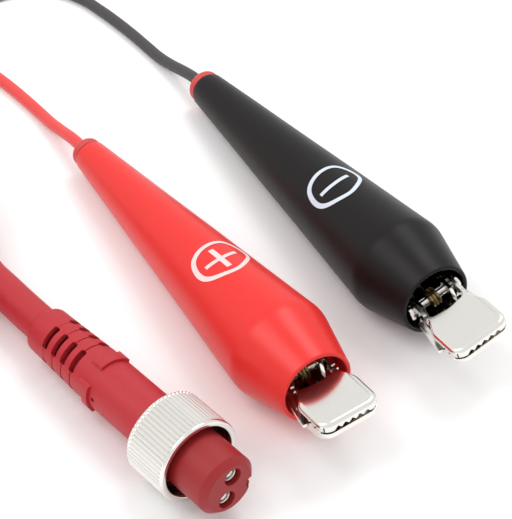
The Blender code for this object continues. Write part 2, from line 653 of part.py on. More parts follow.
def coil_tie(surface):
    """Strap closed round the coil's bundle, on the side away from the clips."""
    half_width = CABLE_RADIUS + 0.5
    bottom = COIL_BOTTOM - 0.4
    top = COIL_BOTTOM + 2 * CABLE_RADIUS * (COIL_TURNS + 0.5) + 0.4

    def loop(grow, radius):
        sides = half_width + grow
        return rounded([(-sides, bottom - grow, radius), (sides, bottom - grow, radius),
                        (sides, top + grow, radius), (-sides, top + grow, radius)])
    outside = extruded("coil_tie", loop(TIE_THICKNESS, 3.0), TIE_WIDTH / 2, FRONT_VIEW)
    made = new_object("coil_tie", outside, None, surface)
    made.location = ((COIL_CENTRE[0] - COIL_RADIUS) * MM, COIL_CENTRE[1] * MM, 0)
    hole = cut(made, extruded("coil_tie", loop(0, 2.4), TIE_WIDTH, FRONT_VIEW))
    hole.location = made.location


def junction(surface):
    """Moulded junction where the cable splits into its two tails."""
    bpy.ops.mesh.primitive_cube_add(size=1)
    made = bpy.context.object
    made.name = "split_junction"
    made.data.transform(Matrix.Diagonal((*(side * MM for side in JUNCTION_SIZE), 1)))
    made.location = Vector(JUNCTION_PLACE) * MM
    made.rotation_euler.z = math.radians(JUNCTION_YAW)
    made.data.materials.append(surface)
    bevel = made.modifiers.new("rounding", "BEVEL")
    bevel.width = 1.8 * MM
    bevel.segments = 3


def cords():
    """The free cable with its coil and tie, the moulded junction and the two split tails."""
    tube("red_wire", RED_WIRE_ROUTE, WIRE_RADIUS, None, material("red_wire", RED, 0.4))
    tube("black_wire", BLACK_WIRE_ROUTE, WIRE_RADIUS, None, material("black_wire", BLACK, 0.5))
    tube("cable_run", CABLE_ROUTE, CABLE_RADIUS, None, material("cable_run", CRIMSON, 0.5))
    tube("cable_exit_run", EXIT_ROUTE, CABLE_RADIUS, None, material("cable_exit_run", CRIMSON, 0.5))
    cable_coil(material("cable_coil", CRIMSON, 0.5))
    coil_tie(material("coil_tie", BLACK, 0.7))
    junction(material("split_junction", CRIMSON, 0.5))


for clip_name, facts in CLIPS.items():
    clip(clip_name, facts)
connector()
cords()
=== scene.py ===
import json
import math

import bmesh
import bpy
from mathutils import Matrix, Vector


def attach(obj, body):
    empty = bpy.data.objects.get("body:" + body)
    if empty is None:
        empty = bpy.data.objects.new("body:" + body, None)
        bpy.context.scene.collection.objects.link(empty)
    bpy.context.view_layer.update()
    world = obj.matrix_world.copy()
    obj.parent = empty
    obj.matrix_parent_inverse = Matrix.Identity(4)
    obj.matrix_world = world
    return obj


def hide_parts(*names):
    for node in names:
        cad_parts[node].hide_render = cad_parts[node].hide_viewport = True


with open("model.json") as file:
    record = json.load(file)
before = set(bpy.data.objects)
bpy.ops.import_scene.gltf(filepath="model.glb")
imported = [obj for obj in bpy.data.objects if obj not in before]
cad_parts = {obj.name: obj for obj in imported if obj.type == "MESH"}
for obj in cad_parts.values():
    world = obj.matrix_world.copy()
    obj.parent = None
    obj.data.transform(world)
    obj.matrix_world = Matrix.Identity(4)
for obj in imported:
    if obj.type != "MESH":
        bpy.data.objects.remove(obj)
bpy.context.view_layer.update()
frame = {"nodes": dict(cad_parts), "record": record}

MM = 0.001

# ---------------------------------------------------------------- camera
CAMERA_PLACE = Vector((-125.78, -196.91, 213.0)) * MM
CAMERA_FORWARD = Vector((0.3978, 0.6275, -0.6694)).normalized()
CAMERA_RIGHT = Vector((0.8446, -0.5354, 0.0)).normalized()
CAMERA_TURN = 0.005
LENS_LENGTH = 119.07
LENS_SHIFT = (-0.008, -0.0065)

level_up = CAMERA_RIGHT.cross(CAMERA_FORWARD)
right = CAMERA_RIGHT * math.cos(CAMERA_TURN) + level_up * math.sin(CAMERA_TURN)
up = right.cross(CAMERA_FORWARD)
lens = bpy.data.cameras.new("camera")
lens.sensor_fit = "HORIZONTAL"
lens.sensor_width = 36
lens.lens = LENS_LENGTH
lens.shift_x, lens.shift_y = LENS_SHIFT
lens.clip_start = 0.02
lens.clip_end = 20
camera = bpy.data.objects.new("camera", lens)
bpy.context.scene.collection.objects.link(camera)
facing = Matrix((right, up, -CAMERA_FORWARD)).transposed().to_4x4()
camera.matrix_world = Matrix.Translation(CAMERA_PLACE) @ facing
bpy.context.scene.camera = camera


# ---------------------------------------------------------------- materials
def surface(name, colour, roughness, metal=0.0, grain=0.08, scale=900, bump=0.02, soft=0.0,
            bend=1.45):
    """A procedural material: the colour and the roughness both vary with a fine noise."""
    made = bpy.data.materials.new(name)
    made.use_nodes = True
    nodes, links = made.node_tree.nodes, made.node_tree.links
    shader = nodes["Principled BSDF"]
    place = nodes.new("ShaderNodeTexCoord")
    noise = nodes.new("ShaderNodeTexNoise")
    noise.inputs["Scale"].default_value = scale
    noise.inputs["Detail"].default_value = 4
    links.new(place.outputs["Object"], noise.inputs["Vector"])
    ramp = nodes.new("ShaderNodeValToRGB")
    ramp.color_ramp.elements[0].position = 0.3
    ramp.color_ramp.elements[1].position = 0.7
    ramp.color_ramp.elements[0].color = [c * (1 - grain) for c in colour] + [1]
    ramp.color_ramp.elements[1].color = [min(1, c * (1 + grain)) for c in colour] + [1]
    links.new(noise.outputs["Fac"], ramp.inputs["Fac"])
    links.new(ramp.outputs["Color"], shader.inputs["Base Color"])
    rough = nodes.new("ShaderNodeMapRange")
    rough.inputs["To Min"].default_value = roughness * 0.88
    rough.inputs["To Max"].default_value = min(1, roughness * 1.12)
    links.new(noise.outputs["Fac"], rough.inputs["Value"])
    links.new(rough.outputs["Result"], shader.inputs["Roughness"])
    raised = nodes.new("ShaderNodeBump")
    raised.inputs["Strength"].default_value = bump
    raised.inputs["Distance"].default_value = 0.0001
    links.new(noise.outputs["Fac"], raised.inputs["Height"])
    links.new(raised.outputs["Normal"], shader.inputs["Normal"])
    shader.inputs["Metallic"].default_value = metal
    shader.inputs["IOR"].default_value = bend
    shader.inputs["Subsurface Weight"].default_value = soft
    shader.inputs["Subsurface Scale"].default_value = 0.0015
    return made


RED_PVC = surface("red pvc", (0.74, 0.030, 0.025), 0.33, grain=0.012, scale=300,
                  bump=0.0, soft=0.10, bend=1.36)
BLACK_PVC = surface("black pvc", (0.0085, 0.0068, 0.0070), 0.40, grain=0.02, scale=300,
                    bump=0.0, bend=1.27)
RED_LEAD = surface("red lead", (0.74, 0.060, 0.055), 0.42, grain=0.04)
BLACK_LEAD = surface("black lead", (0.055, 0.050, 0.053), 0.55)
CABLE = surface("crimson jacket", (0.44, 0.018, 0.026), 0.50, grain=0.05, scale=1400)
NICKEL = surface("nickelled steel", (0.84, 0.82, 0.78), 0.17, metal=1.0, grain=0.015, scale=6000,
                 bump=0.0)
# The spring's yellow tone is its own colour; its darkness is painted shade for the dim inside of
# the boot.
YELLOW_SPRING_WITH_PAINTED_SHADE = surface("yellowed spring wire with painted shade", (0.26, 0.19, 0.085), 0.30, metal=1.0, grain=0.05,
                      scale=4000, bump=0.0)
COPPER = surface("tinned copper", (0.72, 0.55, 0.42), 0.35, metal=1.0, scale=2600)
INSERT_PLASTIC = surface("insert moulding", (0.30, 0.011, 0.014), 0.50, grain=0.05, scale=1400)

BY_SLOT = {
    "red_boot": RED_PVC, "black_boot": BLACK_PVC, "end_bush": CABLE, "jaw": NICKEL, "pin": NICKEL,
    "spring": YELLOW_SPRING_WITH_PAINTED_SHADE, "conductor": COPPER, "red_wire": RED_LEAD, "black_wire": BLACK_LEAD,
    "cable_jacket": CABLE, "connector_insert": INSERT_PLASTIC, "contact": NICKEL,
    "coupling_nut": NICKEL, "sealing_ring": BLACK_PVC, "coil_tie": BLACK_PVC,
}

# ---------------------------------------------------------------- routes of the thin wires, mm
RED_WIRE_ROUTE = [
    (-14.63, 43.35, 4.62), (-14.65, 48, 4.05), (-14.75, 53, 2.9), (-14.9, 58, 1.9),
    (-15, 63, 1.35), (-15.4, 68, 1.2), (-16, 73, 1.2), (-16.8, 78, 1.2), (-18, 83.5, 1.2),
    (-20.4, 88.8, 1.2), (-24.2, 93.4, 1.2), (-29.2, 96.8, 1.2), (-35, 98.6, 1.2),
    (-41, 99.4, 1.2), (-46.6, 99, 1.3), (-51.2, 97, 1.8), (-54.2, 94.8, 2.6),
    (-54.85, 92.2, 3.4), (-54.55, 90.05, 3.6),
]
BLACK_WIRE_ROUTE = [
    (16.19, 49.85, 4.65), (16.2, 53.5, 4.2), (16.1, 57.5, 3.3), (15.85, 62, 2.2),
    (15.6, 67, 1.35), (15.35, 72, 1.2), (14.95, 78, 1.2), (14.3, 84, 1.2), (13.4, 90, 1.2),
    (12.2, 95.5, 1.2), (9.8, 100.6, 1.2), (5.8, 104.6, 1.2), (0.6, 106.7, 1.2),
    (-5.5, 107.2, 1.2), (-12, 106.8, 1.2), (-19, 106.2, 1.2), (-26, 105.7, 1.2),
    (-33, 105.3, 1.2), (-40, 105.1, 1.2), (-46.6, 104.8, 1.2), (-52.6, 103.4, 1.3),
    (-56.9, 100.4, 1.7), (-59.1, 96, 2.5), (-59.45, 92.2, 3.4), (-59.1, 89.5, 3.6),
]
WIRE_RADIUS = 1.2


def cord_curve(name, route, radius, material):
    """One open smooth spline through the route, with a round section."""
    data = bpy.data.curves.new(name, "CURVE")
    data.dimensions = "3D"
    data.bevel_depth = radius * MM
    data.bevel_resolution = 8
    data.resolution_u = 8
    data.use_fill_caps = True
    line = data.splines.new("BEZIER")
    line.bezier_points.add(len(route) - 1)
    for knot, point in zip(line.bezier_points, route):
        knot.co = Vector(point) * MM
        knot.handle_left_type = "AUTO"
        knot.handle_right_type = "AUTO"
    data.materials.append(material)
    made = bpy.data.objects.new(name, data)
    bpy.context.scene.collection.objects.link(made)
    return made


# ---------------------------------------------------------------- places of the sub-assemblies
def placed(place, yaw, pitch, roll):
    """The frame of a sub-assembly in millimetres: -Y forwards, raised by pitch, then rolled."""
    turn = Matrix.Rotation(math.radians(yaw), 4, "Z")
    turn @= Matrix.Rotation(math.radians(-pitch), 4, "X")
    turn @= Matrix.Rotation(math.radians(roll), 4, "Y")
    return Matrix.Translation(Vector(place) * MM) @ turn @ Matrix.Scale(MM, 4)


RED_CLIP = placed((-14.63, -34.37, 10.05), 0.0, 4.0, -6.0)
BLACK_CLIP = placed((14.48, -31.78, 10.35), -1.2, 4.0, -17.8)
CONNECTOR = placed((-39.0, -36.68, 7.95), 8.1, 3.2, -71.5)

BOOT_LENGTH, BOOT_SHOULDER, SHOULDER_RADIUS = 80.4, 11.3, 9.6
MOUTH_RADIUS, BOOT_WALL = 6.8, 0.85
SHOULDER_OUTSIDE = SHOULDER_RADIUS + 0.1
SLEEVE_WAVE = 0.03
WIRE_HOLE = 1.4
CABLE_RADIUS = 3.3


# ---------------------------------------------------------------- mesh helpers, in local mm
JOIN_WITHIN = 0.0005


def rounded(corners, steps=8):
    """Points of a closed outline given as corners (x, y, radius), each rounded by an arc."""
    points = []
    for index, (x, y, radius) in enumerate(corners):
        corner = Vector((x, y))
        before = Vector(corners[index - 1][:2]) - corner
        after = Vector(corners[(index + 1) % len(corners)][:2]) - corner
        angle = before.angle(after)
        if radius <= 0 or angle > 3.1:
            points.append(corner)
            continue
        middle = (before.normalized() + after.normalized()).normalized()
        centre = corner + middle * radius / math.sin(angle / 2)
        reach = radius / math.tan(angle / 2)
        first = (corner + before.normalized() * reach - centre).normalized()
        last = (corner + after.normalized() * reach - centre).normalized()
        for step in range(steps + 1):
            points.append(centre + first.slerp(last, step / steps) * radius)
    return points


def smooth(mesh, sharp):
    """Smooth shading, broken where faces meet at more than the sharp angle in degrees."""
    mesh.polygons.foreach_set("use_smooth", [True] * len(mesh.polygons))
    mesh.set_sharp_from_angle(angle=math.radians(sharp))


def cleaned(name, shape):
    """A mesh from the bmesh, with its doubled points joined; the bmesh is freed."""
    bmesh.ops.remove_doubles(shape, verts=shape.verts, dist=JOIN_WITHIN)
    bmesh.ops.recalc_face_normals(shape, faces=shape.faces)
    mesh = bpy.data.meshes.new(name)
    shape.to_mesh(mesh)
    shape.free()
    return mesh


def piece(name, shape, place, material, body, nodes, sharp=32, pressed=False):
    """A finished piece from a bmesh in local millimetres, riding on its body."""
    mesh = cleaned(name, shape)
    mesh.transform(place)
    mesh.materials.append(material)
    made = bpy.data.objects.new(name, mesh)
    bpy.context.scene.collection.objects.link(made)
    smooth(mesh, sharp)
    if pressed:
        even = made.modifiers.new("flat faces stay flat", "WEIGHTED_NORMAL")
        even.keep_sharp = True
        even.weight = 80
    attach(made, body)
    if nodes:
        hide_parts(*nodes)
    return made


def divided(points, longest):
    """The outline with its long straight parts divided."""
    result = []
    for here, there in zip(points, points[1:] + points[:1]):
        count = max(1, math.ceil((there - here).length / longest))
        result += [here.lerp(there, step / count) for step in range(count)]
    return result


def lathe(corners, sides=96, wave=None, longest=None, open_axis=False, offset=(0, 0)):
    """A bmesh turned about the local Y axis; corners are (radius, distance backwards, rounding)."""
    outline = rounded(corners)
    if longest:
        outline = divided(outline, longest)
    shape = bmesh.new()
    rings = []
    for index in range(sides):
        angle = math.tau * index / sides
        ring = []
        for radius, back in outline:
            grown = radius + (wave(angle, radius, back) if wave else 0)
            ring.append(shape.verts.new((grown * math.sin(angle) + offset[0], back,
                                         grown * math.cos(angle) + offset[1])))
        rings.append(ring)
    last = len(outline) - (1 if open_axis else 0)
    for here, there in zip(rings, rings[1:] + rings[:1]):
        for index in range(last):
            following = (index + 1) % len(outline)
            shape.faces.new((here[index], here[following], there[following], there[index]))
    return shape


def prism(outline, low, high, view="top"):
    """A bmesh of an extruded outline: top view along Z, side view along X, front view along Y."""
    order = {"top": lambda x, y, w: (x, y, w), "side": lambda x, y, w: (w, x, y),
             "front": lambda x, y, w: (x, w, y)}[view]
    shape = bmesh.new()
    lower = [shape.verts.new(order(x, y, low)) for x, y in outline]
    upper = [shape.verts.new(order(x, y, high)) for x, y in outline]
    shape.faces.new(lower)
    shape.faces.new(list(reversed(upper)))
    count = len(outline)
    for index in range(count):
        following = (index + 1) % count
        shape.faces.new((lower[index], upper[index], upper[following], lower[following]))
    bmesh.ops.recalc_face_normals(shape, faces=shape.faces)
    return shape


def bar(radius, low, high, matrix=Matrix.Identity(4), sides=32):
    """A bmesh of a cylinder along local Z between two heights, moved by matrix."""
    shape = bmesh.new()
    move = matrix @ Matrix.Translation((0, 0, (low + high) / 2))
    bmesh.ops.create_cone(shape, cap_ends=True, segments=sides, radius1=radius, radius2=radius,
                          depth=high - low, matrix=move)
    return shape


def brick(size, place, turn=Matrix.Identity(4)):
    """A bmesh of a box with these full sizes, centred on place."""
    shape = bmesh.new()
    scale = Matrix.Diagonal((*size, 1))
    bmesh.ops.create_cube(shape, size=1, matrix=turn @ Matrix.Translation(place) @ scale)
    return shape


def temporary(shape):
    """A helper object for a Boolean step, removed again by combined()."""
    mesh = cleaned("temporary", shape)
    made = bpy.data.objects.new("temporary", mesh)
    bpy.context.scene.collection.objects.link(made)
    return made


def combined(shape, steps, bevel=0.0, segments=2):
    """The bmesh after Boolean steps of (operation, bmesh), with its sharp edges rounded."""
    base = temporary(shape)
    helpers = []
    for operation, tool in steps:
        helper = temporary(tool)
        helpers.append(helper)
        change = base.modifiers.new("change", "BOOLEAN")
        change.operation = operation
        change.solver = "EXACT"
        change.object = helper
    if bevel:
        edge = base.modifiers.new("edge", "BEVEL")
        edge.width = bevel
        edge.segments = segments
        edge.limit_method = "ANGLE"
        edge.angle_limit = math.radians(38)
    depsgraph = bpy.context.evaluated_depsgraph_get()
    mesh = bpy.data.meshes.new_from_object(base.evaluated_get(depsgraph))
    result = bmesh.new()
    result.from_mesh(mesh)
    bpy.data.meshes.remove(mesh)
    for used in helpers + [base]:
        data = used.data
        bpy.data.objects.remove(used)
        bpy.data.meshes.remove(data)
    return result


def about(angle):
    """A turn about the local axis that runs from front to back, in degrees."""
    return Matrix.Rotation(math.radians(angle), 4, "Y")


# ---------------------------------------------------------------- booted clips
REACH = 15.5
SHEET = 0.7
FRONT_HALF_WIDTH = 5.75
ARM = 4.4
HANDLE = 3.1
TAIL_STRIP = 2.8
EDGE_ROLL = 0.85
PLATE_HEIGHT, PLATE_SLOPE, PLATE_MIDDLE = 2.1, 0.06, -5
SIDE_TEETH_START, SIDE_TEETH_END, SIDE_TEETH = -14.1, -11.3, 2
FRONT_TEETH, FRONT_TEETH_REACH = 5, 3.5
TOOTH_DEPTH = 0.7
UPPER_TOOTH_LINE, UPPER_TOOTH_ROOT = 1.47, 1.12
LOWER_TOOTH_LINE, LOWER_TOOTH_ROOT = 1.03, 0.68
PIN_HOLE = 1.15
ACROSS = Matrix.Rotation(math.radians(90), 4, "Y")


def zigzag(start, end, teeth, offset, depth):
    """Points of a row of teeth, from root to root."""
    points = []
    for tooth in range(teeth):
        left = start + (end - start) * tooth / teeth
        points.append((left, offset - depth / 2))
        points.append((left + (end - start) / teeth / 2, offset + depth / 2))
    points.append((end, offset - depth / 2))
    return points


def front_teeth(line, away):
    """A tool that cuts the front row of teeth; away is the height where it leaves the jaw."""
    reach = FRONT_TEETH_REACH
    outline = [(-reach, away)] + zigzag(-reach, reach, FRONT_TEETH, line, TOOTH_DEPTH)
    return prism(outline + [(reach, away)], -REACH - 0.45, -REACH + 0.75, "front")


def jaw_plan(inset, arm, back, rear):
    """Plan outline of a jaw: wide in front, narrow at its arms, then its rear end."""
    front = FRONT_HALF_WIDTH - inset
    left = [
        (-(back - inset), rear, 0), (-(back - inset), 5.5, 0), (-(arm - inset), 4.0, 0),
        (-(arm - inset), -5.4, 0.8), (-front, -8.4, 2.5),
        (-front, inset - REACH, 2.2 - inset * 0.8),
    ]
    return rounded(left + [(-x, y, radius) for x, y, radius in reversed(left)], 9)


def plate_crown():
    """A solid with the plate's outline whose top edge is rolled over in a quarter circle."""
    levels = [(0.0, 7.0)]
    for step in range(8):
        angle = math.radians(90 * step / 7)
        levels.append((EDGE_ROLL * (1 - math.cos(angle)),
                       EDGE_ROLL * (1 - math.sin(angle))))
    shape = bmesh.new()
    rings = []
    for inset, drop in levels:
        outline = jaw_plan(inset, ARM, HANDLE, 19)
        rings.append([shape.verts.new((
            x, y, PLATE_HEIGHT + PLATE_SLOPE * (PLATE_MIDDLE - y) - drop)) for x, y in outline])
    count = len(rings[0])
    for lower, upper in zip(rings, rings[1:]):
        for index in range(count):
            following = (index + 1) % count
            shape.faces.new((lower[index], lower[following], upper[following], upper[index]))
    shape.faces.new(rings[0])
    shape.faces.new(list(reversed(rings[-1])))
    return shape


def upper_jaw(label, place):
    """Pressed upper jaw: plate with a rolled edge, toothed skirt, window, arms and handle."""
    side = [(-REACH, UPPER_TOOTH_ROOT), (SIDE_TEETH_START, UPPER_TOOTH_ROOT)]
    side += zigzag(SIDE_TEETH_START, SIDE_TEETH_END, SIDE_TEETH, UPPER_TOOTH_LINE, TOOTH_DEPTH)[1:]
    side += [(-10.9, 1.5), (-8.4, 1.2), (-2.4, 0.0), (-1.6, -1.9), (1.6, -1.9), (3.6, 1.2),
             (8.0, 2.6), (18.0, 4.5), (18.0, 6.0), (9.0, 4.4), (2.0, 2.2), (-5.0, 2.1),
             (-12.0, 2.6), (-REACH, 2.7)]
    hollow = [(SHEET - REACH, -3), (SHEET - REACH, 2.0), (-12.0, 1.9), (-5.0, 1.4), (2.0, 1.5),
              (9.0, 3.7), (19.0, 5.5), (19.0, -3)]
    inside = combined(prism(hollow, -7, 7, "side"),
                      [("INTERSECT", prism(jaw_plan(SHEET, ARM, HANDLE, 20), -10, 10))])
    window = rounded([(-3.7, 3.2, 0.6), (3.7, 3.2, 0.6), (3.7, -5.2, 1.0), (0, -5.9, 6.0),
                      (-3.7, -5.2, 1.0)], 8)
    teeth = front_teeth(UPPER_TOOTH_LINE, -4)
    recess = rounded([(-4.7, -4.0, 0), (4.7, -4.0, 0), (4.7, -14.45, 1.5), (-4.7, -14.45, 1.5)], 7)
    panel = combined(prism([(-17, 2.68), (-12.0, 2.40), (-3.0, 1.86), (-3.0, 5), (-17, 5)],
                           -7, 7, "side"), [("INTERSECT", prism(recess, -5, 6))])
    outside_crown = combined(brick((16, 13, 9), (0, -11.5, 3.5)),
                             [("DIFFERENCE", plate_crown())])
    steps = [
        ("INTERSECT", prism(jaw_plan(0, ARM, HANDLE, 19), -10, 10)),
        ("DIFFERENCE", outside_crown), ("DIFFERENCE", inside),
        ("DIFFERENCE", prism(window, 0.5, 6.5)),
        ("DIFFERENCE", teeth),
        ("DIFFERENCE", panel),
        ("DIFFERENCE", bar(PIN_HOLE, -6, 6, ACROSS)),
    ]
    for side_sign in (-1, 1):
        turn = Matrix.Translation((side_sign * 5.1, -14.85, 0)) @ Matrix.Rotation(
            math.radians(side_sign * 45), 4, "Z")
        steps.append(("DIFFERENCE", brick((0.22, 2.2, 1.6), (0, 0, 1.3), turn)))
    shape = combined(prism(side, -7, 7, "side"), steps, 0.1)
    piece(label + "_jaw_plate", shape, place, NICKEL, label + "_upper_jaw",
          [label + "_upper_jaw"], pressed=True)


def lower_jaw(label, place):
    """Pressed lower jaw: toothed trough with a flat tab at each side, arms, crimp tail."""
    side = [(-REACH, LOWER_TOOTH_ROOT), (SIDE_TEETH_START, LOWER_TOOTH_ROOT)]
    side += zigzag(SIDE_TEETH_START, SIDE_TEETH_END, SIDE_TEETH, LOWER_TOOTH_LINE, TOOTH_DEPTH)[1:]
    side += [(-10.9, -0.2), (-8.5, -0.7), (-2.2, -1.0), (-1.8, 1.3), (1.8, 1.3), (3.4, -1.6),
             (8.0, -3.3), (20.2, -3.5), (21.0, -0.6), (29.0, -0.6), (30.0, -3.5), (30.0, -4.9),
             (8.0, -4.9), (2.0, -3.6), (-5.0, -2.4), (-12.0, -0.8), (-REACH, -0.3)]
    hollow = [(SHEET - REACH, 3), (SHEET - REACH, 0.4), (-12.0, -0.1), (-5.0, -1.7),
              (2.0, -2.9), (8.0, -4.2), (31.0, -4.2), (31.0, 3)]
    arm = ARM - SHEET - 0.3
    inside = combined(prism(hollow, -7, 7, "side"),
                      [("INTERSECT", prism(jaw_plan(SHEET, arm, TAIL_STRIP, 32), -10, 10))])
    teeth = front_teeth(LOWER_TOOTH_LINE, 4)
    steps = [
        ("INTERSECT", prism(jaw_plan(0, arm, TAIL_STRIP, 31), -10, 10)), ("DIFFERENCE", inside),
        ("DIFFERENCE", teeth),
        ("DIFFERENCE", bar(PIN_HOLE, -6, 6, ACROSS)),
    ]
    for side_sign in (-1, 1):
        turn = Matrix.Translation((side_sign * 5.3, -6.65, -0.55)) @ Matrix.Rotation(
            side_sign * math.atan2(1.2, 7.5), 4, "Z")
        steps.append(("UNION", brick((1.1, 7.6, SHEET), (0, 0, 0), turn)))
    shape = combined(prism(side, -7, 7, "side"), steps, 0.08)
    piece(label + "_jaw_trough", shape, place, NICKEL, "root", [label + "_lower_jaw"],
          pressed=True)


def boot(label, place, mouth, tail_radius, material):
    """Glossy sleeve with a rounded shoulder, a rolled mouth and a slightly waved surface."""
    tail = mouth + BOOT_LENGTH
    shoulder = mouth + BOOT_SHOULDER

    def wave(angle, radius, back):
        turned = math.sin(2 * angle + back * 0.07) * math.sin(back * 0.11 + angle)
        return -SLEEVE_WAVE + SLEEVE_WAVE * turned
    shape = lathe([
        (tail_radius, tail, 0.4), (SHOULDER_OUTSIDE, shoulder, 7.0),
        (MOUTH_RADIUS, mouth, 0.4), (MOUTH_RADIUS - BOOT_WALL, mouth, 0.4),
        (SHOULDER_OUTSIDE - BOOT_WALL, shoulder, 6.0), (tail_radius - BOOT_WALL, tail, 0.3),
    ], 128, wave, 2.5)
    piece(label + "_sleeve", shape, place, material, "root", [label + "_boot"])


def bush(label, place, mouth, tail_radius, material):
    """Soft bush closing the small end of the boot round the wire, with a moulded bead."""
    tail = mouth + BOOT_LENGTH
    outside = tail_radius - 0.25
    neck = tail_radius - BOOT_WALL - 0.3
    shape = lathe([
        (WIRE_HOLE, tail + 2.2, 0.25), (outside, tail + 2.2, 0.7),
        (outside, tail + 1.1, 0.1), (outside - 0.14, tail + 0.95, 0.05), (outside, tail + 0.8, 0.1),
        (outside, tail + 0.3, 0.2), (neck, tail + 0.3, 0), (neck, tail - 6.0, 0.3),
        (WIRE_HOLE, tail - 6.0, 0),
    ], 64)
    piece(label + "_collar", shape, place, material, "root", [label + "_end_bush"])


RED_COLLAR = surface("red collar", (0.58, 0.065, 0.06), 0.42)
MARK_LIGHT = {"red": surface("rose print", (0.86, 0.62, 0.61), 0.42, grain=0.02),
              "black": surface("pale print", (0.62, 0.68, 0.76), 0.42, grain=0.02)}


PRINT_LIFTS = (0.012, 0.055)
MARK_BACK = 29.0


def polarity_mark(label, place, mouth, tail_radius, strokes):
    """Thin printed strokes that follow the sleeve; each is (points, half width, closed)."""
    shape = bmesh.new()
    tail = mouth + BOOT_LENGTH
    shoulder = mouth + BOOT_SHOULDER

    def on_sleeve(x, y):
        share = (tail - y) / (tail - shoulder)
        radius = tail_radius + (SHOULDER_OUTSIDE - tail_radius) * share
        angle = x / radius
        return Vector((math.sin(angle), 0, math.cos(angle))), radius, y
    for points, half_width, closed in strokes:
        line = [Vector(p) for p in points]
        count = len(line)
        ribs = []
        for index, here in enumerate(line):
            before = line[index - 1] if index or closed else here
            after = line[(index + 1) % count] if index < count - 1 or closed else here
            across = (after - before).normalized().orthogonal()
            width = half_width(index / count) if callable(half_width) else half_width
            rib = []
            for side in (-1, 1):
                x, y = here + across * width * side
                outward, radius, back = on_sleeve(x, y)
                for lift in PRINT_LIFTS:
                    spot = outward * (radius + lift)
                    rib.append(shape.verts.new((spot.x, back, spot.z)))
            ribs.append(rib)
        pairs = list(zip(ribs, ribs[1:]))
        if closed:
            pairs.append((ribs[-1], ribs[0]))
        for (a, b, c, d), (e, f, g, h) in pairs:
            for face in ((a, b, f, e), (b, d, h, f), (d, c, g, h), (c, a, e, g)):
                shape.faces.new(face)
        if not closed:
            for a, b, c, d in (ribs[0], ribs[-1]):
                shape.faces.new((a, b, d, c))
    piece(label + "_mark", shape, place, MARK_LIGHT[label], "root", [], 60)


MARK_OUTLINE = [(-4.45, 1.0), (-3.25, 3.85), (-0.1, 5.3), (3.6, 5.15), (5.65, 2.3), (5.45, -0.8),
               (1.65, -3.9), (-2.0, -3.4), (-4.1, -1.7)]


def smooth_line(points, closed, steps=9):
    """Points of a smooth line through the given ones; x is across the sleeve, y along it."""
    spots = [Vector(p) for p in points]
    count = len(spots)
    result = []
    for index in range(count if closed else count - 1):
        if closed:
            a, b, c, d = (spots[(index + shift) % count] for shift in (-1, 0, 1, 2))
        else:
            b, c = spots[index], spots[index + 1]
            a = spots[max(index - 1, 0)]
            d = spots[min(index + 2, count - 1)]
        for step in range(steps):
            t = step / steps
            result.append(0.5 * ((2 * b) + (c - a) * t + (2 * a - 5 * b + 4 * c - d) * t * t
                                 + (3 * b - a - 3 * c + d) * t ** 3))
    if not closed:
        result.append(spots[-1])
    return result


def thick(share):
    """Half width of the outline, which swells and thins once on its way round."""
    return 0.36 + 0.15 * math.sin(math.pi * ((share + 0.55) % 1)) ** 2


CLIP_FACTS = {
    "red": (RED_CLIP, -5.0, 3.3, RED_PVC, RED_COLLAR),
    "black": (BLACK_CLIP, -1.1, 3.7, BLACK_PVC, RED_COLLAR),
}
for label, (place, mouth, tail_radius, material, collar) in CLIP_FACTS.items():
    boot(label, place, mouth, tail_radius, material)
    bush(label, place, mouth, tail_radius, collar)
    upper_jaw(label, place)
    lower_jaw(label, place)
    middle = mouth + MARK_BACK
    outline = smooth_line([(x, middle + y) for x, y in MARK_OUTLINE], True)
    cross = smooth_line([(-2.8, middle + 0.3), (0.5, middle + 0.45), (3.9, middle + 1.1)], False)
    strokes = [(outline, thick, True), (cross, 0.41, False)]
    if label == "red":
        upright = smooth_line([(0.3, middle + 3.8), (0.45, middle + 0.6), (0.54, middle - 2.5)],
                              False)
        strokes.append((upright, 0.50, False))
    polarity_mark(label, place, mouth, tail_radius, strokes)

# ---------------------------------------------------------------- connector
NOSE = 12.3
CONTACT_SPACING, CONTACT_BORE = 4.4, 1.6
BODY_RADIUS = 4.85


